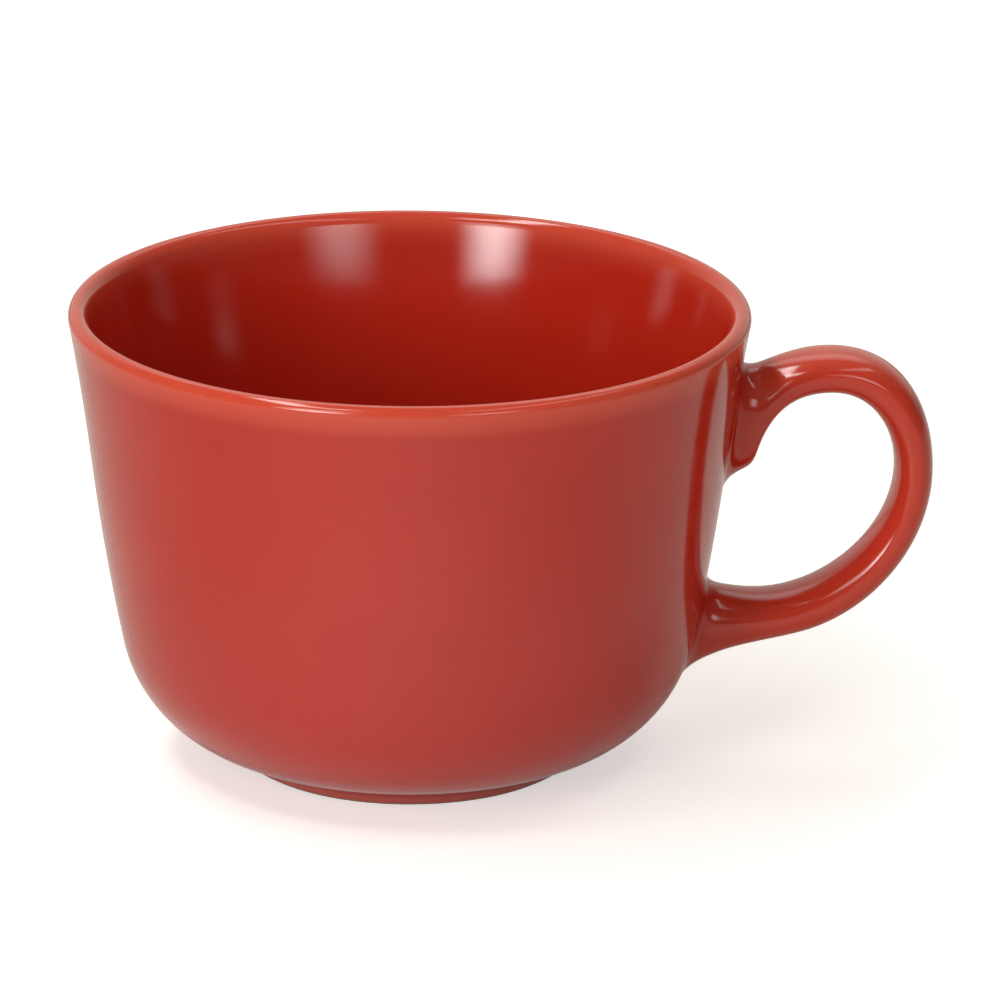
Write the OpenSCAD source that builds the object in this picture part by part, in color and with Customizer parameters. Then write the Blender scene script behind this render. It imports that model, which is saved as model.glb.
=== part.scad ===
// Soup mug: a wide stoneware bowl with one loop handle, glazed all over except under the foot.
// Sizes are in mm and are those of the finished, glazed mug.
// The mug stands on the XY plane with its axis on Z, and the handle points along +X.

/* [Bowl] */
// Diameter over the rim
rim_d = 115.2; // [109:0.2:122]
// Height from the table to the top of the rim
bowl_h = 79.5; // [76:0.1:84]
// Thickness of the wall at its rounded rim
wall_t = 3.1; // [2.6:0.1:3.8]
// Lean of the wall from upright just under the rim, in degrees
rim_lean = 10.4; // [9:0.1:12]
// Least lean of the wall, between flare and belly, in degrees
wall_lean = 6.9; // [6:0.1:8]
// Radius of the hollow curve that flares the upper wall
flare_r = 413; // [330:1:500]
// Radius of the full curve of the lower wall
belly_r = 381; // [320:1:450]
// Radius of the round shoulder between wall and underside
shoulder_r = 23; // [20:0.1:24.6]
// Radius of the easy curve from the crest of the rim into the inside
lip_ease_r = 3; // [2.4:0.1:3.8]
// Lean of the inside just under the rim, in degrees: the wall thickens downwards
inner_rim_lean = 13.4; // [12.2:0.1:14.4]
// Least lean of the inside, in degrees
inner_wall_lean = 7.4; // [6.6:0.1:8.2]
// Radius of the hollow curve of the upper inside
inner_flare_r = 330; // [280:1:380]
// Radius of the full curve of the lower inside
inner_belly_r = 340; // [290:1:400]
// Radius of the round corner between wall and floor inside
corner_r = 17; // [13:0.5:20]
// Thickness of the base between floor and foot recess
floor_t = 5; // [4:0.1:6.5]

/* [Foot] */
// Diameter over the foot ring
foot_d = 56.6; // [51:0.2:62]
// Widening of the foot ring from the table up to the bowl
foot_taper = 1.4; // [0.5:0.1:2]
// Height of the underside of the bowl above the table
foot_h = 2.7; // [2.2:0.1:3.5]
// Width of the foot ring
foot_w = 4.2; // [3.4:0.1:6]
// Height of the recess inside the foot ring
recess_h = 1.9; // [1.5:0.1:2.1]
// Radius of the worn edges of the foot ring
foot_round = 0.6; // [0.3:0.1:0.8]

/* [Handle] */
// Width of the handle across the loop
handle_w = 13; // [11:0.1:15]
// Squareness of the handle section: 2 is an ellipse and more is squarer
handle_square = 2.3; // [2:0.1:3]
// Handle thickness at the top of the loop
crown_t = 7.2; // [6:0.1:8.6]
// Handle thickness at the outermost point of the loop
grip_t = 6.45; // [5.25:0.05:7.5]
// Handle thickness where the lower limb starts to widen
limb_t = 7.8; // [6.4:0.1:8.8]
// Distance of the top of the loop from the wall
crown_out = 18; // [16.5:0.1:20]
// Depth of the top of the loop below the rim
crown_drop = 8.6; // [7.5:0.1:10]
// Distance of the outermost point of the loop from the wall
grip_out = 35.8; // [33.5:0.1:39]
// Depth of the outermost point of the loop below the rim
grip_drop = 29.8; // [27:0.1:32]
// Distance from the wall at which the lower limb starts to widen
limb_out = 12.9; // [11:0.1:14.5]
// Height above the table at which the lower limb starts to widen
limb_up = 20.8; // [20:0.1:22.2]
// Fall of the lower limb towards the wall, in degrees
limb_fall = 13.5; // [10:0.5:17]
// Fullness of the bend between the top and the outermost point
crown_full = 0.43; // [0.4:0.01:0.47]

/* [Handle roots] */
// Depth of the top edge of the upper root below the rim
upper_drop = 12.5; // [12:0.1:14.5]
// Length of the upper root down the wall
upper_len = 17.6; // [15.5:0.1:18.8]
// Rise of the upper limb as it leaves the wall, in degrees
upper_rise = 20; // [14:1:26]
// Thickness of the tongue that hangs below the upper limb
tongue_t = 4.7; // [4:0.1:5.4]
// Height of the rounded end of the tongue
tongue_round = 2.6; // [2.2:0.1:3.4]
// Slope of the outside of the tongue, in degrees from level
tongue_slope = 75; // [68:1:82]
// Height of the top edge of the lower root above the table
lower_up = 29.4; // [28.5:0.1:30.2]
// Length of the lower root down the wall
lower_len = 15.8; // [14.4:0.1:16.4]
// Slope at which the underside of the lower limb runs into the wall, in degrees
lower_flare = 38; // [28:1:42]
// Rise of the top of the lower limb as it meets the wall, in degrees
lower_rise = 12; // [6:1:18]

/* [Slip joints] */
// Thickness of the slip bed between handle and wall
slip_t = 0.5; // [0.3:0.05:0.8]
// Reach of the slip cove over the wall round each root
cove = 3.5; // [2.8:0.1:4]
// Reach of the slip cove up the handle
cove_climb = 4.2; // [3.2:0.1:4.8]

/* [Glaze] */
// Thickness of the glaze coat
glaze_t = 0.3; // [0.2:0.05:0.4]
// Height of the bare edge left at the bottom of the foot ring
bare_h = 0.4; // [0.3:0.1:0.8]

/* [Hidden] */

// Points round the handle section and rows along each part of the loop
sides = 28;
loop_rows = [5, 8, 11, 13, 9];
// Rows over each slip cove and rings across each end face
cove_rows = 6;
face_rings = 4;
// How strongly a cove is pulled into its corner: 0.7 makes it about round
cove_pull = 0.65;
// Least step along the loop between a cove's edge and the next row
row_gap = 0.06;
// Steps round the mug
fine = 240;
// Greatest gap between the bowl's section and its true curves
sag = 0.006;
// Direction from the middle of the rim, up from level outside, at which its easy inner curve starts
lip_turn = 134;
// How far the foot reaches up into the base
foot_root = 1.5;
// How far the window cutters reach past the glaze on each side
cutter = 1;
// Handle length over chord for bends of a quarter turn and for slight bends
quarter_full = 0.39;
slight_full = 0.36;
// Share of the upper limb that lies over the tongue
tongue_share = 0.33;
clay_colour = "#d8c3a5";
slip_colour = "#cbb28f";
glaze_colour = "#b5392b";

function dir(a) = [cos(a), sin(a)];

// The wall is a chain of tangent arcs outside and another inside, from the rim down: these are their centres
lip_r = wall_t / 2;
lip_c = [rim_d / 2 - lip_r, bowl_h - lip_r];
lip_ease_c = lip_c - (lip_ease_r - lip_r) * dir(lip_turn);
flare_c = lip_c + (lip_r + flare_r) * dir(-rim_lean);
belly_c = flare_c - (flare_r + belly_r) * dir(-wall_lean);
shoulder_lean = asin((belly_c.y - shoulder_r - foot_h) / (belly_r - shoulder_r));
shoulder_c = belly_c + (belly_r - shoulder_r) * dir(-shoulder_lean);
floor_z = recess_h + floor_t;
inner_flare_c = lip_ease_c + (inner_flare_r - lip_ease_r) * dir(-inner_rim_lean);
inner_belly_c = inner_flare_c - (inner_flare_r + inner_belly_r) * dir(-inner_wall_lean);
corner_lean = asin((inner_belly_c.y - floor_z - corner_r) / (inner_belly_r - corner_r));
corner_c = inner_belly_c + (inner_belly_r - corner_r) * dir(-corner_lean);

// Outside radius of the bowl at height z, with the surface grown by grow
function wall_r(z, grow) =
    z > belly_c.y - (belly_r + grow) * sin(wall_lean)
        ? flare_c.x - sqrt(pow(flare_r - grow, 2) - pow(z - flare_c.y, 2))
        : z > belly_c.y - (belly_r + grow) * sin(shoulder_lean)
            ? belly_c.x + sqrt(pow(belly_r + grow, 2) - pow(z - belly_c.y, 2))
            : shoulder_c.x + sqrt(pow(shoulder_r + grow, 2) - pow(z - shoulder_c.y, 2));

// Points along an arc, close enough together to keep each chord within sag of the curve of radius r
function arc(centre, r, grow, a0, a1) =
    let (pieces = ceil(abs(a1 - a0) / (2 * acos(1 - sag / r))))
    [for (k = [0:pieces]) centre + (r + grow) * dir(a0 + (a1 - a0) * k / pieces)];

// Half section of the bowl without its foot, with every surface grown by grow
module bowl_section(grow) {
    polygon(concat(
        [[0, foot_h - grow]],
        arc(shoulder_c, shoulder_r, grow, -90, -shoulder_lean),
        tail(arc(belly_c, belly_r, grow, -shoulder_lean, -wall_lean)),
        tail(arc(flare_c, flare_r, -grow, 180 - wall_lean, 180 - rim_lean)),
        tail(arc(lip_c, lip_r, grow, -rim_lean, lip_turn)),
        tail(arc(lip_ease_c, lip_ease_r, grow, lip_turn, 180 - inner_rim_lean)),
        tail(arc(inner_flare_c, inner_flare_r, grow, 180 - inner_rim_lean, 180 - inner_wall_lean)),
        tail(arc(inner_belly_c, inner_belly_r, -grow, -inner_wall_lean, -corner_lean)),
        tail(arc(corner_c, corner_r, -grow, -corner_lean, -90)),
        [[0, floor_z + grow]]
    ));
}

function tail(points) = [for (k = [1:len(points) - 1]) points[k]];

// Height of the bowl's underside at radius r, with the surface grown by grow
function under_z(r, grow) =
    r < shoulder_c.x
        ? foot_h - grow
        : shoulder_c.y - sqrt(pow(shoulder_r + grow, 2) - pow(r - shoulder_c.x, 2));

// Half section of the foot as a full disc, wider at the top and with a worn bottom edge
module foot_disc(grow) {
    r = foot_d / 2 + grow;
    neck_r = r + foot_taper;
    neck_z = under_z(neck_r, grow);
    root_z = foot_h + foot_root;
    polygon(concat(
        [[0, 0]],
        arc([r - foot_round, foot_round], foot_round, 0, -90, 0),
        [[neck_r, neck_z], [neck_r, neck_z + foot_root]],
        [[min(neck_r, shoulder_c.x), root_z], [0, root_z]]
    ));
}

recess_r = foot_d / 2 - foot_w;
recess_top = recess_h + glaze_t;

// Half section of the recess inside the foot ring, with a worn bottom edge
module recess() {
    polygon(concat(
        [[0, 0]],
        arc([recess_r + foot_round, foot_round], foot_round, 0, 270, 180),
        [[recess_r, recess_top], [0, recess_top]]
    ));
}

module bowl() {
    color(clay_colour) rotate_extrude($fn = fine) difference() {
        union() {
            bowl_section(-glaze_t);
            foot_disc(-glaze_t);
        }
        recess();
    }
}

// Outline of the handle in the XZ plane, written as [x, z]: the outer line starts at the upper root
grip_z = bowl_h - grip_drop;
wall_x = wall_r(grip_z, 0);
upper_z = bowl_h - upper_drop;
tongue_z = upper_z - upper_len;
knuckle_z = tongue_z + tongue_round;
heel_z = lower_up - lower_len;
limb_dir = 180 + limb_fall;
flare_dir = 180 + lower_flare;
upper_top = [wall_r(upper_z, 0), upper_z];
crown = [wall_x + crown_out, bowl_h - crown_drop];
grip = [wall_x + grip_out, grip_z];
limb = [wall_x + limb_out, limb_up];
heel = [wall_r(heel_z, 0), heel_z];
tongue_end = [wall_r(tongue_z, 0), tongue_z];
knuckle = [wall_r(knuckle_z, 0) + tongue_t, knuckle_z];
crown_in = crown - [0, crown_t];
grip_in = grip - [grip_t, 0];
limb_in = limb + limb_t * dir(limb_dir - 90);
lower_top = [wall_r(lower_up, 0), lower_up];

// A smooth bend from p0, leaving at angle a0, to p1, arriving at angle a1
function bend(p0, a0, p1, a1, full, u) =
    let (
        reach = full * norm(p1 - p0),
        c0 = p0 + reach * dir(a0),
        c1 = p1 - reach * dir(a1),
        v = 1 - u
    )
    v * v * v * p0 + 3 * v * v * u * c0 + 3 * v * u * u * c1 + u * u * u * p1;

// Stations 0 to 5 along the loop: tongue, upper limb, crown, grip, lower limb and heel
function upper_line(u) = bend(upper_top, upper_rise, crown, 0, slight_full, u);
function outer_at(s) =
    s < 1 ? upper_line(s * tongue_share)
    : s < 2 ? upper_line(tongue_share + (s - 1) * (1 - tongue_share))
    : s < 3 ? bend(crown, 0, grip, -90, crown_full, s - 2)
    : s < 4 ? bend(grip, 270, limb, limb_dir, slight_full, s - 3)
    : bend(limb, limb_dir, heel, flare_dir, slight_full, s - 4);
function inner_at(s) =
    s < 1 ? bend(tongue_end, 0, knuckle, tongue_slope, quarter_full, s)
    : s < 2 ? bend(knuckle, tongue_slope, crown_in, 0, crown_full, s - 1)
    : s < 3 ? bend(crown_in, 0, grip_in, -90, quarter_full, s - 2)
    : s < 4 ? bend(grip_in, 270, limb_in, limb_dir, slight_full, s - 3)
    : bend(limb_in, limb_dir, lower_top, 180 - lower_rise, slight_full, s - 4);
loop_end = len(loop_rows);

// One corner point of the rounded section, from -1 to 1 both along and across its thickness
function rounded(c) = sign(c) * pow(abs(c), 2 / handle_square);
ring_angles = [for (k = [0:sides - 1]) 360 * k / sides];

// Ring of the handle surface at station s, sunk by inset and spread sideways by a negative one
function ring_at(s, inset) =
    let (
        o = outer_at(s),
        i = inner_at(s),
        mid = (o + i) / 2,
        half = (o - i) / 2 * (1 - 2 * inset / norm(o - i))
    )
    [for (a = ring_angles) [
        mid.x + half.x * rounded(cos(a)),
        (handle_w / 2 - inset) * rounded(sin(a)),
        mid.y + half.y * rounded(cos(a))
    ]];

// A ring moved along X onto the bowl, lifted off its surface grown by grow
function on_wall(ring, lift, grow) =
    [for (p = ring) [sqrt(pow(wall_r(p.z, grow), 2) - p.y * p.y) + lift, p.y, p.z]];

function middle(ring) = (ring[0] + ring[sides / 2]) / 2;

// A ring shrunk towards its middle to the share f
function shrunk(ring, f) =
    let (mid_z = middle(ring).z)
    [for (p = ring) [p.x, f * p.y, mid_z + f * (p.z - mid_z)]];

function inner_rings(ring, lift, grow) =
    [for (k = [1:face_rings - 1]) on_wall(shrunk(ring, k / face_rings), lift, grow)];
function tip(ring, lift, grow) = on_wall([middle(ring)], lift, grow)[0];
function backwards(list) = [for (k = [len(list) - 1:-1:0]) list[k]];

// Stations where the slip coves end on the handle
upper_stop = cove_climb / (3 * quarter_full * norm(knuckle - tongue_end));
lower_stop = loop_end - cove_climb / (3 * slight_full * norm(heel - limb));
upper_half = upper_stop / 2;
lower_half = (lower_stop + loop_end) / 2;
free_stations = [
    for (g = [0:loop_end - 1])
        for (k = [0:loop_rows[g] - 1])
            let (s = g + k / loop_rows[g])
            if (s > upper_stop + row_gap && s < lower_stop - row_gap) s
];
open_stations = concat([upper_stop], free_stations, [lower_stop]);

// Rows of a cove that runs from the wall, grown by grow, up to the handle's ring at station stop
function cove_rows_at(root, stop, inset, grow) =
    let (
        foot = on_wall(ring_at(root, glaze_t - cove), 0, grow),
        elbow = on_wall(ring_at(root, inset), 0, grow),
        rim = ring_at(stop, inset)
    )
    [for (j = [0:cove_rows - 1])
        let (
            u = j / cove_rows,
            a = pow(1 - u, 2),
            b = 2 * cove_pull * u * (1 - u),
            c = u * u
        )
        [for (k = [0:sides - 1]) (a * foot[k] + b * elbow[k] + c * rim[k]) / (a + b + c)]];

// Skin over rings that each have the same number of points, closed by a tip at each end
module skin(rings, first, last) {
    n = sides;
    m = len(rings);
    points = concat([first], [for (r = rings) each r], [last]);
    faces = concat(
        [for (k = [0:n - 1]) [0, 1 + (k + 1) % n, 1 + k]],
        [for (j = [0:m - 2]) for (k = [0:n - 1])
            let (a = 1 + j * n + k, b = 1 + j * n + (k + 1) % n)
            each [[a, b + n, a + n], [a, b, b + n]]],
        [for (k = [0:n - 1])
            let (base = 1 + (m - 1) * n)
            [base + k, base + (k + 1) % n, 1 + m * n]]
    );
    polyhedron(points, faces);
}

// Skin over rings that rise from the wall at a root: rings turn the other way at the far end of the loop
module root_skin(root, rings, first, last) {
    if (root == 0) skin(rings, first, last);
    else skin(backwards(rings), last, first);
}

// Skin over rings whose last row joins the first, as on a sleeve
module sleeve(rings) {
    n = sides;
    m = len(rings);
    points = [for (r = rings) each r];
    faces = [for (j = [0:m - 1]) for (k = [0:n - 1])
        let (
            next = (j + 1) % m,
            a = j * n + k,
            b = j * n + (k + 1) % n,
            c = next * n + (k + 1) % n,
            d = next * n + k
        )
        each [[a, c, d], [a, b, c]]];
    polyhedron(points, faces);
}

// The clay handle inside its glaze, with an end face on each slip bed
upper_face = on_wall(ring_at(0, glaze_t), slip_t, -glaze_t);
lower_face = on_wall(ring_at(loop_end, glaze_t), slip_t, -glaze_t);

module handle() {
    rows = concat(
        inner_rings(upper_face, slip_t, -glaze_t),
        [upper_face, ring_at(upper_half, glaze_t)],
        [for (s = open_stations) ring_at(s, glaze_t)],
        [ring_at(lower_half, glaze_t), lower_face],
        backwards(inner_rings(lower_face, slip_t, -glaze_t))
    );
    first = tip(upper_face, slip_t, -glaze_t);
    last = tip(lower_face, slip_t, -glaze_t);
    color(clay_colour) skin(rows, first, last);
}

// A slip joint: a bed between wall and handle, with a cove round the root
module slip_joint(root, half, stop, face) {
    foot = on_wall(ring_at(root, glaze_t - cove), 0, -glaze_t);
    rows = concat(
        inner_rings(foot, 0, -glaze_t),
        cove_rows_at(root, stop, glaze_t, -glaze_t),
        [ring_at(stop, glaze_t), ring_at(half, glaze_t), face],
        backwards(inner_rings(face, slip_t, -glaze_t))
    );
    color(slip_colour) root_skin(root, rows, tip(foot, 0, -glaze_t), tip(face, slip_t, -glaze_t));
}

module upper_slip_joint() {
    slip_joint(0, upper_half, upper_stop, upper_face);
}

module lower_slip_joint() {
    slip_joint(loop_end, lower_half, lower_stop, lower_face);
}

// Cutter for the window that each handle root leaves in the bowl's glaze
module root_window(root) {
    edge = ring_at(root, glaze_t - cove);
    deep = -glaze_t - cutter;
    rows = concat(
        inner_rings(edge, deep, 0),
        [on_wall(edge, deep, 0), on_wall(edge, cutter, 0)],
        backwards(inner_rings(edge, cutter, 0))
    );
    root_skin(root, rows, tip(edge, deep, 0), tip(edge, cutter, 0));
}

module bowl_glaze() {
    color(glaze_colour) difference() {
        rotate_extrude($fn = fine) difference() {
            union() {
                bowl_section(0);
                foot_disc(0);
            }
            bowl_section(-glaze_t);
            foot_disc(-glaze_t);
            square([foot_d, bare_h]);
        }
        root_window(0);
        root_window(loop_end);
    }
}

// Glaze over the handle and its coves, from the window at one root to that at the other
module handle_glaze() {
    outside = concat(
        cove_rows_at(0, upper_stop, 0, 0),
        [for (s = open_stations) ring_at(s, 0)],
        backwards(cove_rows_at(loop_end, lower_stop, 0, 0))
    );
    inside = concat(
        cove_rows_at(0, upper_stop, glaze_t, -glaze_t),
        [for (s = open_stations) ring_at(s, glaze_t)],
        backwards(cove_rows_at(loop_end, lower_stop, glaze_t, -glaze_t))
    );
    color(glaze_colour) sleeve(concat(outside, backwards(inside)));
}

module base_glaze() {
    color(glaze_colour) translate([0, 0, recess_h]) cylinder(glaze_t, recess_r, recess_r, $fn = fine);
}

bowl();
handle();
upper_slip_joint();
lower_slip_joint();
bowl_glaze();
handle_glaze();
base_glaze();
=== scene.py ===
# %% [markdown]
# # A glazed soup mug
# A soup mug is a wide pottery cup: a bowl thrown or pressed in clay, a strap of clay bent
# into a loop and stuck to it with wet slip, and a red glaze melted over both in the kiln.
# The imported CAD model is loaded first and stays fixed: everything made here sits in its
# frame, in metres, with the table at z = 0 and the handle along +X.

# %% Load the frame
import math

import bpy
import numpy as np
from mathutils import Matrix, Vector


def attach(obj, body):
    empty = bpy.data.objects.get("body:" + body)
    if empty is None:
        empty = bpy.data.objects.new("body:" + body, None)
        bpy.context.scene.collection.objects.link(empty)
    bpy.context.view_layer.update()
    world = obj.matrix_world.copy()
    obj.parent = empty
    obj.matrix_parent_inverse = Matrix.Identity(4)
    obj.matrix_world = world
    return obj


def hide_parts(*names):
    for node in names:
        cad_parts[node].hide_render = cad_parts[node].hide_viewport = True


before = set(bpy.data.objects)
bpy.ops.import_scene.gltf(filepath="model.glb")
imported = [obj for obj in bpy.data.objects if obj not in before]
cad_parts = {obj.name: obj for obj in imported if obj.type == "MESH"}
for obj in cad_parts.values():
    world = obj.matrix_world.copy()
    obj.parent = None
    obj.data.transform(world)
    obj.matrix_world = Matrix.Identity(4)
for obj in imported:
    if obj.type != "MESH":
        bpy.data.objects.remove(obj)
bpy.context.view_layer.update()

# %% [markdown]
# ## The sizes of the mug
# The glaze is what the eye sees, so its outer skin is drawn again here much finer than the
# solids need. It follows the same sizes as the CAD model, all in millimetres: a bowl whose
# wall swells low down and flares to the rim, a low foot ring, and a loop handle that is
# nearly oval across. Repeating the sizes keeps the skin on the clay to a hair.

# %% Sizes in millimetres
MM, HAIR = 0.001, 1e-6
GLAZE_T = 0.3

RIM_D, BOWL_H, WALL_T = 115.2, 79.5, 3.1
RIM_LEAN, WALL_LEAN = math.radians(10.4), math.radians(6.9)
FLARE_R, BELLY_R, SHOULDER_R = 413.0, 381.0, 23.0
INNER_RIM_LEAN, INNER_WALL_LEAN = math.radians(13.4), math.radians(7.4)
INNER_FLARE_R, INNER_BELLY_R, CORNER_R = 330.0, 340.0, 17.0

FOOT_D, FOOT_TAPER, FOOT_H, FOOT_W = 56.6, 1.4, 2.7, 4.2
RECESS_H, FOOT_ROUND, FLOOR_T = 1.9, 0.6, 5.0
FLOOR_Z = RECESS_H + FLOOR_T
LIP_R = WALL_T / 2
LIP_TURN, LIP_EASE_R = math.radians(134), 3.0


def heading(angle):
    """A unit step in the plane of the section, from an angle above the horizon."""
    return np.array([math.cos(angle), math.sin(angle)])


lip_c = np.array([RIM_D / 2 - LIP_R, BOWL_H - LIP_R])
flare_c = lip_c + (LIP_R + FLARE_R) * heading(-RIM_LEAN)
belly_c = flare_c - (FLARE_R + BELLY_R) * heading(-WALL_LEAN)
SHOULDER_LEAN = math.asin((belly_c[1] - SHOULDER_R - FOOT_H) / (BELLY_R - SHOULDER_R))
shoulder_c = belly_c + (BELLY_R - SHOULDER_R) * heading(-SHOULDER_LEAN)

lip_ease_c = lip_c - (LIP_EASE_R - LIP_R) * heading(LIP_TURN)
inner_flare_c = lip_ease_c + (INNER_FLARE_R - LIP_EASE_R) * heading(-INNER_RIM_LEAN)
inner_belly_c = inner_flare_c - (INNER_FLARE_R + INNER_BELLY_R) * heading(-INNER_WALL_LEAN)
CORNER_LEAN = math.asin((inner_belly_c[1] - FLOOR_Z - CORNER_R) / (INNER_BELLY_R - CORNER_R))
corner_c = inner_belly_c + (INNER_BELLY_R - CORNER_R) * heading(-CORNER_LEAN)
print("wall leaves the shoulder at", np.round(shoulder_c, 2), "mm")

# %% [markdown]
# ## The bowl's section
# A potter's profile is a chain of arcs that run into each other without a corner. Each arc
# is sampled by angle, more closely where it turns fast. The same chain, set back by the
# thickness of the glaze, is the face of the clay below, so one function draws both.

# %% Arcs and the two skins
def arc(centre, radius, start, stop, count):
    """Points along an arc, from one angle to another."""
    return [centre + radius * heading(a) for a in np.linspace(start, stop, count)]


def under_z(r, grow):
    """Height of the bowl's underside at a radius, for a skin grown by that much."""
    if r < shoulder_c[0]:
        return FOOT_H - grow
    return shoulder_c[1] - math.sqrt((SHOULDER_R + grow) ** 2 - (r - shoulder_c[0]) ** 2)


def wall_r(z, grow=0.0):
    """Radius of the bowl's outer wall at a height."""
    if z > belly_c[1] - (BELLY_R + grow) * math.sin(WALL_LEAN):
        return flare_c[0] - math.sqrt((FLARE_R - grow) ** 2 - (z - flare_c[1]) ** 2)
    if z > belly_c[1] - (BELLY_R + grow) * math.sin(SHOULDER_LEAN):
        return belly_c[0] + math.sqrt((BELLY_R + grow) ** 2 - (z - belly_c[1]) ** 2)
    return shoulder_c[0] + math.sqrt((SHOULDER_R + grow) ** 2 - (z - shoulder_c[1]) ** 2)


def skin(grow):
    """The wall from the foot's neck over the lip to the middle of the floor."""
    neck = FOOT_D / 2 + FOOT_TAPER + grow
    start = math.asin((neck - shoulder_c[0]) / (SHOULDER_R + grow)) - math.pi / 2
    straight = math.pi
    pieces = [
        arc(shoulder_c, SHOULDER_R + grow, start, -SHOULDER_LEAN, 34),
        arc(belly_c, BELLY_R + grow, -SHOULDER_LEAN, -WALL_LEAN, 16),
        arc(flare_c, FLARE_R - grow, straight - WALL_LEAN, straight - RIM_LEAN, 14),
        arc(lip_c, LIP_R + grow, -RIM_LEAN, LIP_TURN, 24),
        arc(lip_ease_c, LIP_EASE_R + grow, LIP_TURN, straight - INNER_RIM_LEAN, 10),
        arc(inner_flare_c, INNER_FLARE_R + grow, straight - INNER_RIM_LEAN,
            straight - INNER_WALL_LEAN, 18),
        arc(inner_belly_c, INNER_BELLY_R - grow, -INNER_WALL_LEAN, -CORNER_LEAN, 14),
        arc(corner_c, CORNER_R - grow, -CORNER_LEAN, -math.pi / 2, 24),
        [np.array([r, FLOOR_Z + grow]) for r in np.linspace(corner_c[0], 0, 10)],
    ]
    line = [pieces[0][0]]
    for piece in pieces:
        line += piece[1:]
    return line


wall_line = skin(0.0)
print(len(wall_line), "points from the neck of the foot to the middle of the floor")

# %% [markdown]
# ## The foot
# Glaze is wiped off the bottom of the foot so that the mug doesn't stick to the kiln shelf.
# Melting glaze draws back into a thin rounded edge there, and it pools in the groove where
# the foot meets the bowl. Both soften the sharp corners that a plain section would have: a
# small curve is laid into the groove, and the glaze line ends in a rolled edge.

# %% Foot line with its softened groove
BARE_H = 0.4
GROOVE_BLEND = 1.5


def foot_edge(grow):
    """Outer side of the foot from the bare line to the neck, with its bottom edge rounded."""
    bottom_r = FOOT_D / 2 + grow
    neck = bottom_r + FOOT_TAPER
    top = np.array([neck, under_z(neck, grow)])
    slope = math.atan2(top[1], FOOT_TAPER)
    turn = FOOT_ROUND * math.tan(slope / 2)
    round_c = np.array([bottom_r - turn, FOOT_ROUND])
    edge = arc(round_c, FOOT_ROUND, -math.pi / 2, slope - math.pi / 2, 12)
    side = [edge[-1] + (top - edge[-1]) * u for u in np.linspace(0, 1, 12)]
    return edge + side[1:]


def lay_in_curve(line, corner, reach, count):
    """Replaces a corner of a line by a curve that starts and ends a reach away from it."""
    steps = [0.0] + [float(np.linalg.norm(b - a)) for a, b in zip(line, line[1:])]
    along = np.cumsum(steps)
    at = along[corner]
    xs, zs = np.array(line)[:, 0], np.array(line)[:, 1]

    def point(d):
        """The point a distance along the line."""
        return np.array([np.interp(d, along, xs), np.interp(d, along, zs)])

    p0, p1, p2 = point(at - reach), line[corner], point(at + reach)
    curve = [(1 - u) ** 2 * p0 + 2 * u * (1 - u) * p1 + u ** 2 * p2
             for u in np.linspace(0, 1, count)]
    before = [p for p, d in zip(line, along) if d < at - reach - HAIR]
    after = [p for p, d in zip(line, along) if d > at + reach + HAIR]
    return before + curve + after


foot_line = [p for p in foot_edge(0.0) if p[1] > BARE_H]
outer_line = lay_in_curve(foot_line + wall_line[1:], len(foot_line) - 1, GROOVE_BLEND, 14)
clay_foot = [p for p in foot_edge(-GLAZE_T) if p[1] > BARE_H]
clay_line = clay_foot + skin(-GLAZE_T)[1:]
print("glaze starts", round(outer_line[0][1], 2), "mm above the table")

# %% [markdown]
# ## Turning the section into a mesh
# A bowl is a section turned about its axis, the way it was made on the wheel. Blender can do
# this with a Screw modifier, but here the rings are written as a mesh in code, so that each
# point can also carry how thick the glaze lies on it. A point on the axis is a single
# vertex with a fan of triangles, which leaves no pile of stray points in the middle.

# %% A turned mesh with its attributes
TURNS = 288


def new_piece(name, points, faces, marks):
    """A smooth mesh piece in metres, with a named value on each of its points."""
    mesh = bpy.data.meshes.new(name)
    mesh.from_pydata([tuple(MM * c for c in p) for p in points], [], faces)
    mesh.validate()
    for mark, values in marks.items():
        layer = mesh.attributes.new(mark, "FLOAT", "POINT")
        layer.data.foreach_set("value", np.asarray(values, dtype=np.float32))
    mesh.shade_smooth()
    piece = bpy.data.objects.new(name, mesh)
    bpy.context.collection.objects.link(piece)
    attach(piece, "root")
    return piece


def turned(name, line, marks, turns=TURNS):
    """Turns a closed section about the axis; its ends may lie on the axis."""
    points, faces, rows = [], [], []
    values = {mark: [] for mark in marks}
    for k, (r, z) in enumerate(line):
        on_axis = r < HAIR
        angles = [0.0] if on_axis else [2 * math.pi * t / turns for t in range(turns)]
        rows.append((len(points), on_axis))
        points += [(r * math.cos(a), r * math.sin(a), z) for a in angles]
        for mark in marks:
            values[mark] += [marks[mark][k]] * len(angles)
    for (a, a_pole), (b, b_pole) in zip(rows, rows[1:] + rows[:1]):
        if a_pole and b_pole:
            continue
        for t in range(turns):
            n = (t + 1) % turns
            if a_pole:
                faces.append((a, b + n, b + t))
            elif b_pole:
                faces.append((a + t, a + n, b))
            else:
                faces.append((a + t, a + n, b + n, b + t))
    return new_piece(name, points, faces, values)


print("each ring has", TURNS, "points,", round(math.pi * RIM_D / TURNS, 2), "mm apart at the rim")

# %% [markdown]
# ## The glazed bowl
# Molten glaze runs off edges and gathers in hollows. Three values are kept on the points for
# the material to use later: `thin_glaze_and_painted_light`, on the crest of the lip, where
# the glaze stretches and breaks to a lighter tone and painted light brightens the crest as
# if lit from above, `pool`, in the groove above the foot, where it lies thick and dark, and
# `wiped_and_painted_reflection`, on the side of the foot, where a sponge has left little of
# the glaze and the clay shows through, and where a painted reflection of the bright floor
# makes it paler still. The piece is a closed shell: outside, over the lip, down the inside,
# and back along the clay.

# %% Make the bowl's glaze
LIP_BREAK_AND_LIGHT_REACH, CREST_UP = 3.0, 0.2 * LIP_R
POOL_REACH = 1.8
WIPE_AND_REFLECTION_Z, WIPE_AND_REFLECTION_EASE = 2.4, 1.0


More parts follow.
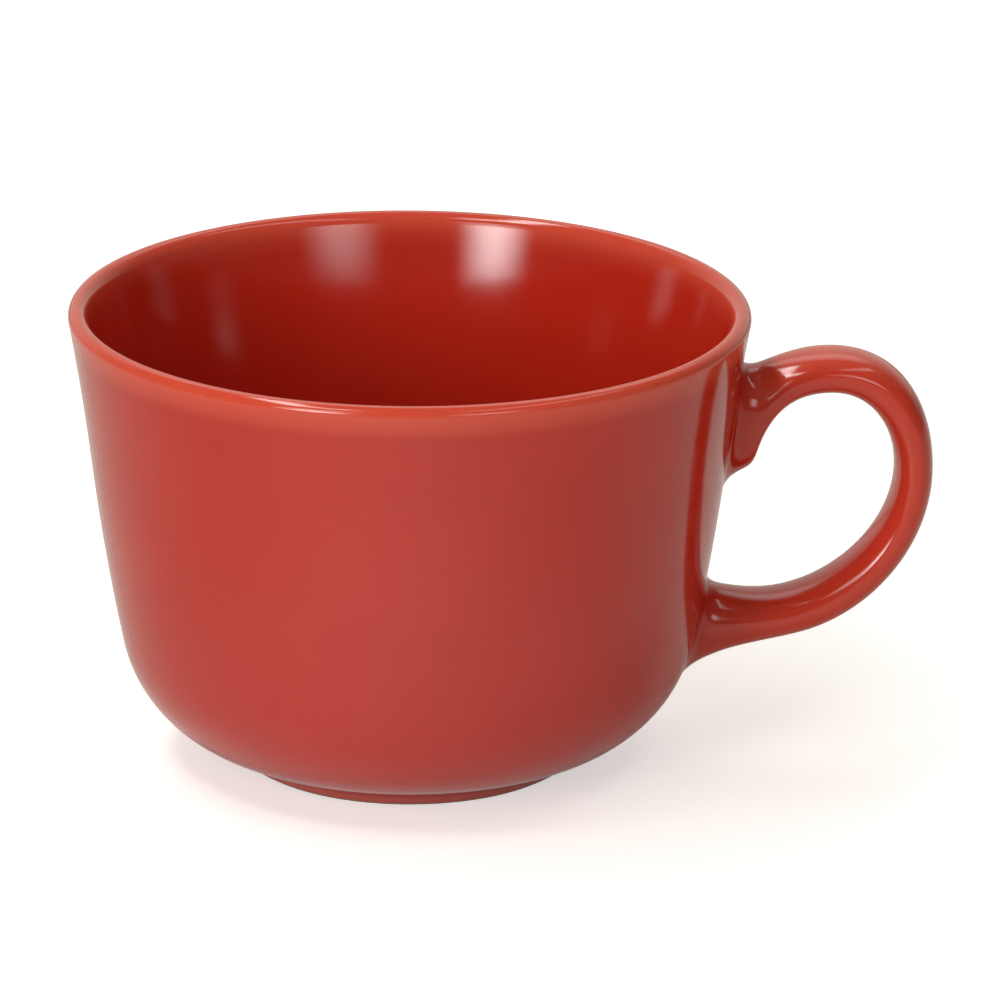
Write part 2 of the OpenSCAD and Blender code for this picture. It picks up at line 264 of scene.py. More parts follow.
def soft_step(value):
    """A smooth ramp from 0 to 1."""
    v = np.clip(value, 0, 1)
    return v * v * (3 - 2 * v)


# Painted light: besides the real lighter glaze break, the crest is made lighter as if lit from
# above.
def lip_break_and_painted_light(p):
    """1 on the crest of the lip, falling to 0 a little way down both walls."""
    far = math.hypot(p[0] - lip_c[0], p[1] - lip_c[1] - CREST_UP) - LIP_R
    return float(soft_step(1 - far / LIP_BREAK_AND_LIGHT_REACH)) * float(p[1] > lip_c[1] - 2 * LIP_BREAK_AND_LIGHT_REACH)


def groove_pool(p):
    """1 in the groove above the foot, 0 away from it."""
    neck_r = FOOT_D / 2 + FOOT_TAPER
    far = math.hypot(p[0] - neck_r, p[1] - under_z(neck_r, 0.0))
    near = p[0] > corner_c[0] and p[1] < FLOOR_Z
    return float(soft_step(1 - far / POOL_REACH)) if near else 0.0


# Painted reflection: besides the thin wiped glaze, the side of the foot is made paler as if it
# mirrored the bright floor.
def foot_wipe_and_painted_reflection(p):
    """1 on the side of the foot, 0 from its neck upwards."""
    return float(soft_step((WIPE_AND_REFLECTION_Z - p[1]) / WIPE_AND_REFLECTION_EASE))


bowl_section = outer_line + clay_line[::-1]
bowl_glaze = turned("bowl_glaze_skin", bowl_section, {
    "thin_glaze_and_painted_light": [lip_break_and_painted_light(p) for p in bowl_section],
    "pool": [groove_pool(p) for p in bowl_section],
    "wiped_and_painted_reflection": [foot_wipe_and_painted_reflection(p) for p in bowl_section],
})
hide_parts("bowl_glaze")
print(bowl_glaze.name, len(bowl_glaze.data.polygons), "faces")

# %% [markdown]
# ## The handle's two lines
# A pulled handle is drawn from the side as an outer line and an inner line. Both leave the
# wall, climb to the crown, drop past the grip and come back along the lower limb to the
# wall. The inner line starts with the small knuckle under the upper root. Each stretch is
# one Bezier curve with given directions at its ends, so the stretches join smoothly.

# %% Handle sizes and lines
HANDLE_W, HANDLE_SQUARE = 13.0, 2.3
CROWN_T, GRIP_T, LIMB_T = 7.2, 6.45, 7.8
CROWN_OUT, CROWN_DROP, GRIP_OUT, GRIP_DROP = 18.0, 8.6, 35.8, 29.8
LIMB_OUT, LIMB_UP, LIMB_FALL, CROWN_FULL = 12.9, 20.8, 13.5, 0.43
UPPER_DROP, UPPER_LEN, UPPER_RISE = 12.5, 17.6, 20.0
TONGUE_T, TONGUE_ROUND, TONGUE_SLOPE = 4.7, 2.6, 75.0
LOWER_UP, LOWER_LEN, LOWER_FLARE, LOWER_RISE = 29.4, 15.8, 38.0, 12.0
QUARTER_FULL, SLIGHT_FULL, TONGUE_SHARE = 0.39, 0.36, 0.33


def on_side(z):
    """The point of the outer wall at a height."""
    return np.array([wall_r(z), z])


def bend(p0, a0, p1, a1, full, u):
    """A point on a curve that leaves p0 and reaches p1 in the given directions, in degrees."""
    reach = full * np.linalg.norm(p1 - p0)
    c0 = p0 + reach * heading(math.radians(a0))
    c1 = p1 - reach * heading(math.radians(a1))
    v = 1 - u
    return v ** 3 * p0 + 3 * v * v * u * c0 + 3 * v * u * u * c1 + u ** 3 * p1


grip_z = BOWL_H - GRIP_DROP
wall_x = wall_r(grip_z)
upper_z = BOWL_H - UPPER_DROP
tongue_z = upper_z - UPPER_LEN
limb_dir = 180 + LIMB_FALL

upper_top, tongue_end = on_side(upper_z), on_side(tongue_z)
heel, lower_top = on_side(LOWER_UP - LOWER_LEN), on_side(LOWER_UP)
knuckle = on_side(tongue_z + TONGUE_ROUND) + [TONGUE_T, 0]
crown = np.array([wall_x + CROWN_OUT, BOWL_H - CROWN_DROP])
grip = np.array([wall_x + GRIP_OUT, grip_z])
limb = np.array([wall_x + LIMB_OUT, LIMB_UP])
crown_in, grip_in = crown - [0, CROWN_T], grip - [GRIP_T, 0]
limb_in = limb + LIMB_T * heading(math.radians(limb_dir - 90))


def outer_at(s):
    """The outer line at a place from 0, the upper root, to 5, the lower one."""
    if s < 2:
        u = s * TONGUE_SHARE if s < 1 else TONGUE_SHARE + (s - 1) * (1 - TONGUE_SHARE)
        return bend(upper_top, UPPER_RISE, crown, 0, SLIGHT_FULL, u)
    if s < 3:
        return bend(crown, 0, grip, -90, CROWN_FULL, s - 2)
    if s < 4:
        return bend(grip, 270, limb, limb_dir, SLIGHT_FULL, s - 3)
    return bend(limb, limb_dir, heel, 180 + LOWER_FLARE, SLIGHT_FULL, s - 4)


def inner_at(s):
    """The inner line at a place from 0, the upper root, to 5, the lower one."""
    if s < 1:
        return bend(tongue_end, 0, knuckle, TONGUE_SLOPE, QUARTER_FULL, s)
    if s < 2:
        return bend(knuckle, TONGUE_SLOPE, crown_in, 0, CROWN_FULL, s - 1)
    if s < 3:
        return bend(crown_in, 0, grip_in, -90, QUARTER_FULL, s - 2)
    if s < 4:
        return bend(grip_in, 270, limb_in, limb_dir, SLIGHT_FULL, s - 3)
    return bend(limb_in, limb_dir, lower_top, 180 - LOWER_RISE, SLIGHT_FULL, s - 4)


print("crown", np.round(crown, 1), "grip", np.round(grip, 1), "limb", np.round(limb, 1))

# %% [markdown]
# ## Sections of the handle
# Across, the strap is nearly an oval, only a little squarer: a superellipse gives that with
# a single number. Where the handle meets the bowl, the potter smooths wet slip into a cove
# all round the joint, and the glaze flows through it. Each cove is a sheaf of curves that
# leave the wall along its surface and turn up into the handle's skin.

# %% Rings and coves
SIDES = 96
COVE, COVE_CLIMB, COVE_PULL = 3.5, 4.2, 0.65
COVE_ROWS = 18
LOOP_ROWS = (14, 26, 34, 40, 26)
CLAY_COVE_ROWS, CLAY_LOOP_ROWS = 6, (5, 9, 12, 14, 9)
UNDERLAP, UNDERLAP_SINK = 1.0, 0.03

ring_angles = np.linspace(0, 2 * math.pi, SIDES, endpoint=False)


def rounded(c):
    """Turns a cosine or sine into that of the squarer oval."""
    return np.sign(c) * np.abs(c) ** (2 / HANDLE_SQUARE)


ring_in, ring_across = rounded(np.cos(ring_angles)), rounded(np.sin(ring_angles))


def ring_at(s, inset=0.0):
    """One ring of points round the strap, set back from its skin by an inset."""
    o, i = outer_at(s), inner_at(s)
    mid = (o + i) / 2
    half = (o - i) / 2 * (1 - 2 * inset / np.linalg.norm(o - i))
    return np.stack([mid[0] + half[0] * ring_in, (HANDLE_W / 2 - inset) * ring_across,
                     mid[1] + half[1] * ring_in], axis=1)


def on_wall(ring, sink=0.0, grow=0.0):
    """Moves a ring's points along X onto the bowl's wall, or a little below it."""
    r = np.array([wall_r(z, grow) for z in ring[:, 2]]) - sink
    return np.stack([np.sqrt(r ** 2 - ring[:, 1] ** 2), ring[:, 1], ring[:, 2]], axis=1)


upper_stop = COVE_CLIMB / (3 * QUARTER_FULL * np.linalg.norm(knuckle - tongue_end))
lower_stop = 5 - COVE_CLIMB / (3 * SLIGHT_FULL * np.linalg.norm(heel - limb))


def cove_rows(root, stop, inset, count):
    """Rings that climb from the wall to the strap round one root."""
    foot = on_wall(ring_at(root, GLAZE_T - COVE), 0.0, -inset)
    elbow = on_wall(ring_at(root, inset), 0.0, -inset)
    rim = ring_at(stop, inset)
    rows = []
    for u in np.linspace(0, 1, count, endpoint=False):
        a, b, c = (1 - u) ** 2, 2 * COVE_PULL * u * (1 - u), u * u
        rows.append((a * foot + b * elbow + c * rim) / (a + b + c))
    return rows


def stations(rows):
    """Places along the loop, from one cove to the other."""
    marks = [upper_stop, 1, 2, 3, 4, lower_stop]
    places = []
    for a, b, count in zip(marks, marks[1:], rows):
        places += list(np.linspace(a, b, count, endpoint=False))
    return places + [lower_stop]


print("coves end at", round(upper_stop, 3), "and", round(lower_stop, 3), "of 5 along the loop")

# %% [markdown]
# ## The glazed handle
# The skin is a sleeve of rings: up one cove, round the loop and down the other, then back
# inside along the clay, so the piece is closed. Where a cove runs into the strap, the rows
# are relaxed a few times, as a wet sponge would do it. The last ring on each side laps a
# hair under the bowl's glaze, so no edge stands up from the wall. The handle carries
# `thin_glaze_and_painted_light` and `pool` too: its glaze is thinnest on the crown and
# pools in the coves, and painted light makes the top of the crown, and a little the whole
# strap, lighter as if better lit.

# %% Make the handle's glaze
RELAX_ROWS, RELAX_TIMES, RELAX_EASE, RELAX_STEP = 9, 24, 1.3, 0.5
POOL_ROWS, POOL_EASE, POOL_RISE = COVE_ROWS + 4, 1.6, 5
# The last value is painted light: the whole strap outside the coves is made a little lighter as
# if better lit.
CREST_Z, CREST_EASE, HANDLE_PAINTED_LIGHT = 58.0, 8.0, 0.4


def sleeve(inset, count, rows):
    """All rings of one skin of the handle, from the upper root to the lower one."""
    up = cove_rows(0, upper_stop, inset, count)
    down = cove_rows(5, lower_stop, inset, count)[::-1]
    return up + [ring_at(s, inset) for s in stations(rows)] + down


def relax(rings, middle):
    """Evens out the rows on both sides of a place in the sleeve."""
    for _ in range(RELAX_TIMES):
        old = [r.copy() for r in rings]
        for k in range(middle - RELAX_ROWS, middle + RELAX_ROWS + 1):
            ease = float(soft_step(RELAX_EASE * (1 - abs(k - middle) / (RELAX_ROWS + 1))))
            between = (old[k - 1] + old[k + 1]) / 2
            rings[k] = old[k] + RELAX_STEP * ease * (between - old[k])


outside = sleeve(0.0, COVE_ROWS, LOOP_ROWS)
relax(outside, COVE_ROWS)
relax(outside, len(outside) - 1 - COVE_ROWS)
lap = [on_wall(ring_at(root, GLAZE_T - COVE - UNDERLAP), UNDERLAP_SINK) for root in (0, 5)]
inside = sleeve(GLAZE_T, CLAY_COVE_ROWS, CLAY_LOOP_ROWS)
rings = [lap[0]] + outside + [lap[1]] + inside[::-1]

handle_points = np.concatenate(rings)
handle_faces = []
for k in range(len(rings)):
    a, b = k * SIDES, ((k + 1) % len(rings)) * SIDES
    for t in range(SIDES):
        n = (t + 1) % SIDES
        handle_faces.append((a + t, b + t, b + n, a + n))

# Painted light: the upper side of the crown is made lighter as if lit from above, on top of its
# thinner glaze.
handle_thin_and_painted_light, handle_pool = [], []
for k, ring in enumerate(rings):
    in_cove = min(k, abs(len(outside) + 1 - k)) / POOL_ROWS
    deep = float(soft_step(POOL_EASE * (1 - in_cove))) if k <= len(outside) + 1 else 1.0
    above = ring[:, 2] - ring[:, 2].mean()
    crest = soft_step(2 * above / CROWN_T) * soft_step((ring[:, 2] - CREST_Z) / CREST_EASE)
    handle_pool += [deep * float(soft_step(POOL_RISE * in_cove))] * SIDES
    handle_thin_and_painted_light += list(np.maximum(crest, HANDLE_PAINTED_LIGHT) * (1 - deep))

handle_glaze = new_piece("handle_glaze_skin", handle_points, handle_faces,
                         {"thin_glaze_and_painted_light": handle_thin_and_painted_light, "pool": handle_pool})
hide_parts("handle_glaze")
print(handle_glaze.name, len(handle_faces), "faces in", len(rings), "rings")

# %% [markdown]
# ## The glazed base
# Under the mug, inside the bare foot ring, a shallow recess is glazed too. Its glaze climbs
# a little way up the clay at the edge, in a small hollow curve. This is a thin turned disc.

# %% Make the base glaze
RECESS_R = FOOT_D / 2 - FOOT_W
CLIMB, CLIMB_H, DISC_TURNS, DISC_POOL = 0.9, 0.54, 180, 0.4


def climb_at(a):
    """A point of the small hollow curve at the edge of the disc."""
    out, drop = CLIMB * math.sin(a), CLIMB_H * (1 - math.cos(a))
    return np.array([RECESS_R - CLIMB + out, RECESS_H - drop])


disc_under = [np.array([r, RECESS_H]) for r in np.linspace(0, RECESS_R - CLIMB, 16)]
disc_edge = [climb_at(a) for a in np.linspace(0.1, math.pi / 2, 12)]
disc_top = [np.array([RECESS_R, RECESS_H + GLAZE_T]), np.array([0.0, RECESS_H + GLAZE_T])]
base_section = disc_under + disc_edge + disc_top
base_glaze = turned("base_glaze_skin", base_section, {
    "thin_glaze_and_painted_light": [0.0] * len(base_section),
    "pool": [DISC_POOL * float(soft_step((p[0] - RECESS_R + 2 * CLIMB) / CLIMB))
             for p in base_section],
}, turns=DISC_TURNS)
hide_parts("base_glaze")
print(base_glaze.name, len(base_glaze.data.polygons), "faces")

# %% [markdown]
# ## Grain for every finish
# Clay and glaze both show fine unevenness at a few scales: broad soft blotches from the way
# the slip was poured, and a fine grain. A node group makes these once, from the piece's own
# coordinates in millimetres, and each material mixes them in its own measure. The scales
# are counts per millimetre. A noise seldom leaves the middle of its range, so a span names
# the part of it that is stretched from dark to light.

# %% The grain group
BLOTCH_SCALE, RIPPLE_SCALE, GRAIN_SCALE, SPECK_SCALE = 0.045, 0.33, 1.9, 0.36
NOISE_SPAN, SPECK_EDGE = (0.3, 0.7), (0.03, 0.11)


def add(tree, kind, **settings):
    """Adds a node of a kind to a tree, with its settings."""
    node = tree.nodes.new(kind)
    for key, value in settings.items():
        setattr(node, key, value)
    return node


def wire(tree, source, target):
    """Links an output to an input."""
    tree.links.new(source, target)


def noise(tree, where, scale, detail, rough=0.5):
    """A soft noise between 0 and 1."""
    node = add(tree, "ShaderNodeTexNoise")
    node.inputs["Scale"].default_value = scale
    node.inputs["Detail"].default_value = detail
    node.inputs["Roughness"].default_value = rough
    wire(tree, where, node.inputs["Vector"])
    return node.outputs["Fac"]


def stretch(tree, value, low, high, out_low=0.0, out_high=1.0):
    """Maps one range of a value smoothly onto another, and holds it at the ends."""
    node = add(tree, "ShaderNodeMapRange", interpolation_type="SMOOTHSTEP")
    ends = {"From Min": low, "From Max": high, "To Min": out_low, "To Max": out_high}
    for key, number in ends.items():
        node.inputs[key].default_value = number
    wire(tree, value, node.inputs["Value"])
    return node.outputs["Result"]


def make_grain():
    """The node group with its four kinds of unevenness."""
    group = bpy.data.node_groups.new("fired_grain", "ShaderNodeTree")
    for name in ("Blotches", "Ripple", "Grain", "Specks"):
        group.interface.new_socket(name, in_out="OUTPUT", socket_type="NodeSocketFloat")
    coords = add(group, "ShaderNodeTexCoord")
    to_mm = add(group, "ShaderNodeVectorMath", operation="SCALE")
    to_mm.inputs["Scale"].default_value = 1 / MM
    wire(group, coords.outputs["Object"], to_mm.inputs[0])
    where = to_mm.outputs["Vector"]
    out = add(group, "NodeGroupOutput")
    broad = noise(group, where, BLOTCH_SCALE, 3)
    wire(group, stretch(group, broad, *NOISE_SPAN), out.inputs["Blotches"])
    wire(group, noise(group, where, RIPPLE_SCALE, 2), out.inputs["Ripple"])
    wire(group, noise(group, where, GRAIN_SCALE, 3, 0.6), out.inputs["Grain"])
    cells = add(group, "ShaderNodeTexVoronoi", feature="F1")
    cells.inputs["Scale"].default_value = SPECK_SCALE
    wire(group, where, cells.inputs["Vector"])
    specks = stretch(group, cells.outputs["Distance"], *SPECK_EDGE, 1.0, 0.0)
    wire(group, specks, out.inputs["Specks"])
    return group


grain_group = make_grain()
print("grain group puts out", [s.name for s in grain_group.interface.items_tree])

# %% [markdown]
# ## The red glaze
# A satin glaze is a thin coloured glass with a slightly uneven face. Its colour comes from
# the base colour, its soft shine from a roughness of about a tenth. On the points marked
# `thin_glaze_and_painted_light` the colour lifts towards orange, both for the glaze breaking
# thin and as painted light on the lip and the handle; in the marked pools it deepens; on the
# foot it turns paler towards the clay, both for the wiped glaze and as a painted reflection
# of the floor; and the grain moves colour, roughness and height by very little, which is
# what keeps it from looking like plastic.

# %% Make the glaze material
GLAZE_RED = (0.515, 0.024, 0.010, 1)
GLAZE_DEEP = (0.41, 0.015, 0.006, 1)
# The break colour also paints light on the lip's crest and the handle; the wiped colour also
# paints the floor's reflection on the foot.
GLAZE_BREAK_AND_PAINTED_LIGHT = (0.70, 0.085, 0.043, 1)
GLAZE_WIPED_AND_REFLECTION = (0.60, 0.135, 0.095, 1)
BLOTCH_SHARE, GRAIN_SHARE, SPECK_SHARE = 0.22, 0.3, 0.12
POOL_SHARE, THIN_AND_PAINTED_LIGHT_SHARE, WIPED_AND_REFLECTION_SHARE = 0.55, 0.9, 0.85
GLAZE_ROUGH, GLAZE_IOR = (0.09, 0.115), 1.5
RIPPLE_DEPTH, GRAIN_DEPTH = 0.003, 0.0005


def blend(tree, factor, first, second):
    """Mixes two colours, each of them a constant or a socket."""
    node = add(tree, "ShaderNodeMix", data_type="RGBA")
    for index, value in ((0, factor), (6, first), (7, second)):
        socket = node.inputs[index]
        if isinstance(value, tuple):
            socket.default_value = value
        else:
            wire(tree, value, socket)
    return node.outputs[2]


def times(tree, value, factor):
    """A value times a fixed factor."""
    node = add(tree, "ShaderNodeMath", operation="MULTIPLY")
    node.inputs[1].default_value = factor
    wire(tree, value, node.inputs[0])
    return node.outputs[0]


def bump(tree, height, depth, under=None):
    """A normal raised by a height, with the depth in millimetres."""
    node = add(tree, "ShaderNodeBump")
    node.inputs["Distance"].default_value = depth * MM
    wire(tree, height, node.inputs["Height"])
    if under is not None:
        wire(tree, under, node.inputs["Normal"])
    return node.outputs["Normal"]


def new_finish(name):
    """A material with its Principled shader and a grain group to feed it."""
    material = bpy.data.materials.new(name)
    material.use_nodes = True
    tree = material.node_tree
    grain = add(tree, "ShaderNodeGroup", node_tree=grain_group)
    return material, tree, tree.nodes["Principled BSDF"], grain.outputs


def make_glaze():
    """The red glaze, reading glaze thickness and painted light from the marks on the points."""
    material, tree, shader, grain = new_finish("satin_red_glaze")
    thin_glaze_and_painted_light = add(tree, "ShaderNodeAttribute", attribute_name="thin_glaze_and_painted_light").outputs["Fac"]
    pool = add(tree, "ShaderNodeAttribute", attribute_name="pool").outputs["Fac"]
    wiped_and_painted_reflection = add(tree, "ShaderNodeAttribute", attribute_name="wiped_and_painted_reflection").outputs["Fac"]
    colour = blend(tree, times(tree, grain["Blotches"], BLOTCH_SHARE), GLAZE_RED, GLAZE_DEEP)
    colour = blend(tree, times(tree, pool, POOL_SHARE), colour, GLAZE_DEEP)
    # Painted light on the lip's crest and the handle, with the real glaze break.
    colour = blend(tree, times(tree, thin_glaze_and_painted_light, THIN_AND_PAINTED_LIGHT_SHARE), colour, GLAZE_BREAK_AND_PAINTED_LIGHT)
    # Painted reflection of the floor on the foot's side, with the real wiped glaze.
    colour = blend(tree, times(tree, wiped_and_painted_reflection, WIPED_AND_REFLECTION_SHARE), colour, GLAZE_WIPED_AND_REFLECTION)
    colour = blend(tree, times(tree, grain["Grain"], GRAIN_SHARE), colour, GLAZE_DEEP)
    colour = blend(tree, times(tree, grain["Specks"], SPECK_SHARE), colour, GLAZE_DEEP)
    wire(tree, colour, shader.inputs["Base Color"])
    rough = stretch(tree, grain["Grain"], *NOISE_SPAN, *GLAZE_ROUGH)
    wire(tree, rough, shader.inputs["Roughness"])
    shader.inputs["IOR"].default_value = GLAZE_IOR
    normal = bump(tree, grain["Ripple"], RIPPLE_DEPTH)
    wire(tree, bump(tree, grain["Grain"], GRAIN_DEPTH, normal), shader.inputs["Normal"])
    return material


glaze = make_glaze()
for piece in (bowl_glaze, handle_glaze, base_glaze):
    piece.data.materials.append(glaze)
print(glaze.name, "is on", glaze.users, "pieces")

# %% [markdown]
# ## The bare clay and the slip
# Only the bottom of the foot shows the fired clay: a warm buff stoneware with dark iron
# specks and a sandy face. The slip in the joints is the same clay without its grit, so it
# is smoother and a little paler. The CAD solids keep their shapes and take these finishes.

# %% Make the clay and slip materials
CLAY_BUFF, CLAY_WARM = (0.42, 0.27, 0.17, 1), (0.34, 0.19, 0.11, 1)
SLIP_BUFF, IRON = (0.47, 0.33, 0.22, 1), (0.07, 0.035, 0.02, 1)
CLAY_BLOTCHES, CLAY_GRAIN, CLAY_ROUGH = 0.6, 0.35, (0.72, 0.9)


def make_clay(name, ground, warm, specks, sand):
    """A matt fired clay: two tones, a share of iron specks and a depth of sand."""
    material, tree, shader, grain = new_finish(name)
    colour = blend(tree, times(tree, grain["Blotches"], CLAY_BLOTCHES), ground, warm)
    colour = blend(tree, times(tree, grain["Grain"], CLAY_GRAIN), colour, warm)
    colour = blend(tree, times(tree, grain["Specks"], specks), colour, IRON)
    wire(tree, colour, shader.inputs["Base Color"])
    rough = stretch(tree, grain["Grain"], *NOISE_SPAN, *CLAY_ROUGH)
    wire(tree, rough, shader.inputs["Roughness"])
    wire(tree, bump(tree, grain["Grain"], sand), shader.inputs["Normal"])
    return material


clay = make_clay("bare_stoneware", CLAY_BUFF, CLAY_WARM, specks=0.8, sand=0.12)
slip = make_clay("joint_slip", SLIP_BUFF, CLAY_BUFF, specks=0.25, sand=0.04)
for node_name, finish in (("bowl", clay), ("handle", clay),
                          ("upper_slip_joint", slip), ("lower_slip_joint", slip)):
    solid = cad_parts[node_name]
    solid.data.materials.clear()
    solid.data.materials.append(finish)
print("clay on", clay.users, "solids, slip on", slip.users)

# %% [markdown]
# ## Camera
# The mug is seen from a little above, with a long lens from a metre and a half away, and
# the handle pointing right and slightly back. The camera is set up from those measures: a
# seat on a ray from the mug, then its own turn, tilt and roll.

# %% Place the camera
SEAT_TURN = math.radians(3.5)
SEAT_RISE = math.radians(18.545)
SEAT_FAR, SEAT_MID = 1.5, 0.040
LOOK_TURN, LOOK_DOWN, LOOK_ROLL = (math.radians(a) for a in (0.623, 18.363, 0.494))
FOCAL_PX, FRAME_PX, SENSOR, SIGHT = 8827.0, 1000.0, 36.0, 50.0


def from_seat(turn, rise, far):
    """A point round the mug: turned from the camera's side, to the right, and raised."""
    a = turn - SEAT_TURN
    level = far * math.cos(rise)
    return Vector((math.sin(a) * level, -math.cos(a) * level, far * math.sin(rise)))


ahead = np.array([math.sin(LOOK_TURN) * math.cos(LOOK_DOWN),
                  math.cos(LOOK_TURN) * math.cos(LOOK_DOWN), -math.sin(LOOK_DOWN)])
right = np.array([math.cos(LOOK_TURN), -math.sin(LOOK_TURN), 0.0])
up = np.cross(right, ahead)
level_right = math.cos(LOOK_ROLL) * right + math.sin(LOOK_ROLL) * up
level_up = -math.sin(LOOK_ROLL) * right + math.cos(LOOK_ROLL) * up
axes = Matrix(np.stack([level_right, level_up, -ahead], axis=1).tolist())
seat = from_seat(0, SEAT_RISE, SEAT_FAR) + Vector((0, 0, SEAT_MID))

lens = bpy.data.cameras.new("camera")
lens.sensor_fit, lens.sensor_width = "HORIZONTAL", SENSOR
lens.lens = FOCAL_PX * SENSOR / FRAME_PX
lens.clip_end = SIGHT
camera = bpy.data.objects.new("camera", lens)
turned_axes = Matrix.Rotation(-SEAT_TURN, 3, "Z") @ axes
camera.matrix_world = Matrix.Translation(seat) @ turned_axes.to_4x4()
bpy.context.collection.objects.link(camera)
bpy.context.scene.camera = camera
print("camera at", [round(v, 3) for v in seat], "m with a", round(lens.lens), "mm lens")

# %% [markdown]
# ## Floor
# The table is a wide sheet of warm white card. A camera ray sees it lifted to white, as in a
# product shot, while the light that it throws back on the mug stays that of plain matt
# card, and the mug's own soft shadow still falls on it. Only in the glaze's mirror image
# does the card in front of the mug show a soft pool of light.

# %% Make the floor
FLOOR_REACH = 6.0
FLOOR_WHITE, PLAIN_WHITE = (0.80, 0.775, 0.71, 1), (1.0, 1.0, 1.0, 1)
FLOOR_ROUGH, FLOOR_SHINE, FLOOR_LIFT = 0.9, 0.1, 0.55
POOL_AT, POOL_R, POOL_LIFT = (-0.02, -0.10, 0.0), 0.14, 0.55

floor_mesh = bpy.data.meshes.new("floor")
corners = ((-1, -1), (1, -1), (1, 1), (-1, 1))
floor_mesh.from_pydata([(x * FLOOR_REACH, y * FLOOR_REACH, 0.0) for x, y in corners],
                       [], [(0, 1, 2, 3)])
floor = bpy.data.objects.new("floor", floor_mesh)
bpy.context.collection.objects.link(floor)

card = bpy.data.materials.new("white_card")
card.use_nodes = True
ct = card.node_tree
card_shader = ct.nodes["Principled BSDF"]
card_shader.inputs["Base Color"].default_value = FLOOR_WHITE
card_shader.inputs["Roughness"].default_value = FLOOR_ROUGH
card_shader.inputs["Specular IOR Level"].default_value = FLOOR_SHINE
card_shader.inputs["Emission Color"].default_value = PLAIN_WHITE
path = add(ct, "ShaderNodeLightPath")
away = add(ct, "ShaderNodeVectorMath", operation="DISTANCE")
wire(ct, add(ct, "ShaderNodeNewGeometry").outputs["Position"], away.inputs[0])
away.inputs[1].default_value = POOL_AT
mirrored = add(ct, "ShaderNodeMath", operation="MULTIPLY")
wire(ct, stretch(ct, away.outputs["Value"], 0.0, POOL_R, POOL_LIFT, 0.0), mirrored.inputs[0])
wire(ct, path.outputs["Is Glossy Ray"], mirrored.inputs[1])
lift = add(ct, "ShaderNodeMath", operation="ADD")
wire(ct, times(ct, path.outputs["Is Camera Ray"], FLOOR_LIFT), lift.inputs[0])
wire(ct, mirrored.outputs[0], lift.inputs[1])
wire(ct, lift.outputs[0], card_shader.inputs["Emission Strength"])
floor_mesh.materials.append(card)
print("floor of", 2 * FLOOR_REACH, "m a side")

# %% [markdown]
# ## Lights
# Soft boxes stand round the mug, as in a small product studio. The low ones beside the
# camera make the two soft patches on the far inner wall. Narrow ones hang high in front, on
# the left and on the right, and draw the streaks on the handle and the lip. A wide dim one
# behind gives the rim and the crown their pale tops. The left side is much the stronger,
# so the mug turns darker to the right. Each light is given by its turn from the camera and
# its rise in degrees, its distance and size in metres, its glow, the soft share of its
# edges, and its roll.

# %% Place the lights
AIM = Vector((0, 0, SEAT_MID))


def fade(tree, place, soft):
    """Falls from 1 to 0 towards both ends of a light, over the given share of its half."""
    off = add(tree, "ShaderNodeMath", operation="SUBTRACT")
    off.inputs[1].default_value = 0.5
    wire(tree, place, off.inputs[0])
    far = add(tree, "ShaderNodeMath", operation="ABSOLUTE")
    wire(tree, off.outputs[0], far.inputs[0])
    return stretch(tree, far.outputs[0], 0.5 - 0.5 * soft, 0.5, 1.0, 0.0)


def soft_box(name, turn, rise, far, wide, tall, glow, soft, roll=0.0):
    """An area light turned to face the mug, brightest in its middle as a real soft box is."""
    light = bpy.data.lights.new(name, "AREA")
    light.shape, light.size, light.size_y = "RECTANGLE", wide, tall
    light.energy = glow * math.pi * wide * tall
    light.use_nodes = True
    tree = light.node_tree
    place = add(tree, "ShaderNodeSeparateXYZ")
    wire(tree, add(tree, "ShaderNodeNewGeometry").outputs["Parametric"], place.inputs[0])
    both = add(tree, "ShaderNodeMath", operation="MULTIPLY")
    for k, axis in enumerate("XY"):
        wire(tree, fade(tree, place.outputs[axis], soft[k]), both.inputs[k])
    wire(tree, both.outputs[0], tree.nodes["Emission"].inputs["Strength"])
    box = bpy.data.objects.new(name, light)
    box.location = AIM + from_seat(math.radians(turn), math.radians(rise), far)
    face = (AIM - box.location).to_track_quat("-Z", "Y").to_matrix()
    box.rotation_euler = (face @ Matrix.Rotation(math.radians(roll), 3, "Z")).to_euler()
    bpy.context.collection.objects.link(box)
    return box


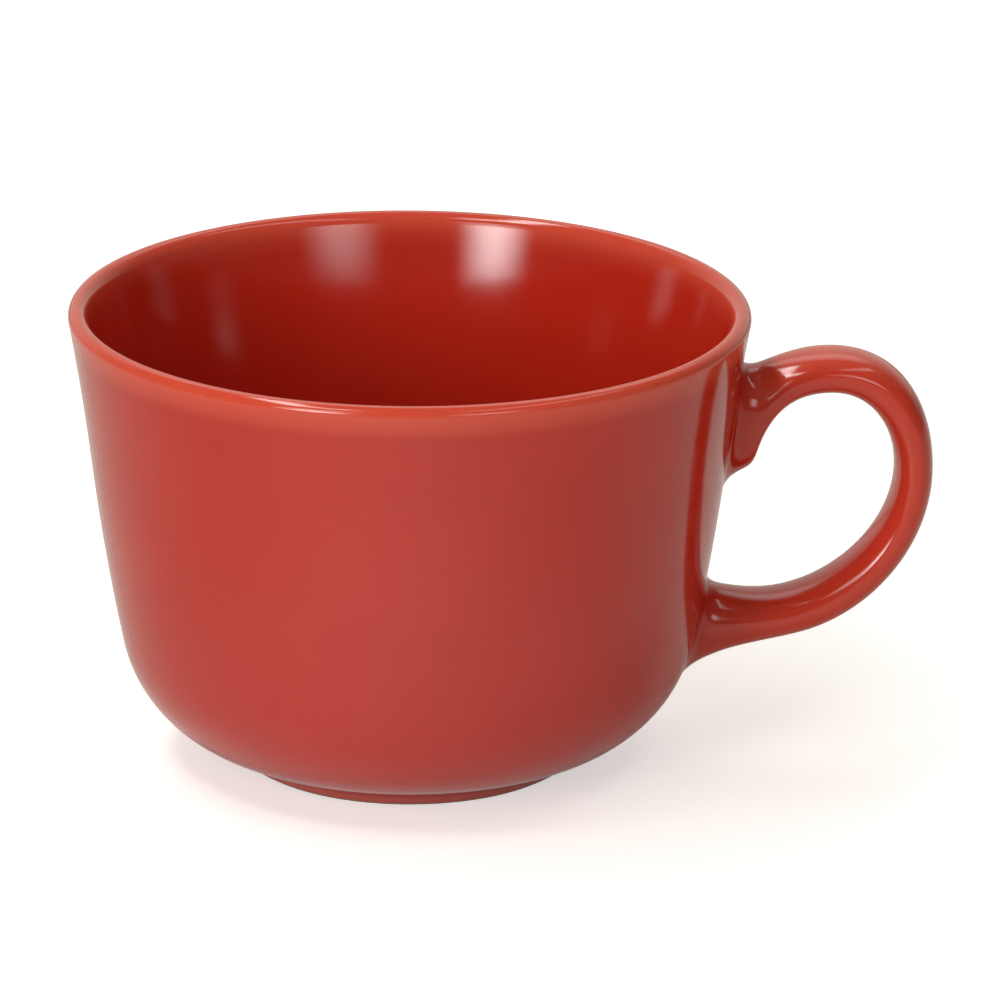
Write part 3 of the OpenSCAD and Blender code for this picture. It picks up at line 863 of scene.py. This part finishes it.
boxes = [
    soft_box("low_left", -31.5, 14.0, 1.2, 0.65, 0.36, 9.8, (1.0, 0.5)),
    soft_box("tall_left", -31.5, 23.0, 1.2, 0.65, 0.78, 5.0, (1.0, 0.35)),
    soft_box("low_right", 25.7, 15.0, 1.2, 0.72, 0.36, 4.2, (1.0, 0.5)),
    soft_box("high_front", -43.0, 60.0, 1.4, 0.60, 0.34, 9.0, (0.6, 0.8)),
    soft_box("high_left", -85.0, 67.0, 1.4, 1.15, 0.30, 11.5, (0.4, 0.8), -20.0),
    soft_box("high_right", 68.0, 60.0, 1.4, 1.60, 0.30, 2.5, (0.4, 0.8)),
    soft_box("high_back", 180.0, 50.0, 1.4, 1.80, 0.90, 1.2, (0.6, 0.8)),
]
print("soft boxes:", [box.name for box in boxes])

# %% [markdown]
# ## The room
# The rest of the studio is dim and slightly warm, and paler behind the mug, where a sweep of
# card stands: it lights the edges of the mug that the camera sees at a glancing angle. The
# camera itself sees plain white.

# %% Make the room
ROOM_GLOW, SWEEP_GLOW, SWEEP_EDGE = 0.125, 0.72, (0.3, 0.9)
ROOM_TINT = (1.0, 0.96, 0.86, 1)

world = bpy.data.worlds.new("studio")
bpy.context.scene.world = world
world.use_nodes = True
wt = world.node_tree
wt.nodes.clear()
room = add(wt, "ShaderNodeBackground")
toward = add(wt, "ShaderNodeSeparateXYZ")
wire(wt, add(wt, "ShaderNodeTexCoord").outputs["Generated"], toward.inputs[0])
behind = stretch(wt, toward.outputs["Y"], *SWEEP_EDGE, ROOM_GLOW, SWEEP_GLOW)
strength = add(wt, "ShaderNodeMix", data_type="FLOAT")
seen = add(wt, "ShaderNodeLightPath").outputs["Is Camera Ray"]
wire(wt, seen, strength.inputs[0])
wire(wt, behind, strength.inputs[2])
strength.inputs[3].default_value = 1.0
wire(wt, strength.outputs[0], room.inputs["Strength"])
wire(wt, blend(wt, seen, ROOM_TINT, PLAIN_WHITE), room.inputs["Color"])
wire(wt, room.outputs[0], add(wt, "ShaderNodeOutputWorld").inputs["Surface"])
bpy.context.scene.view_settings.view_transform = "Standard"
print("room glow", ROOM_GLOW, "and", SWEEP_GLOW, "behind the mug")
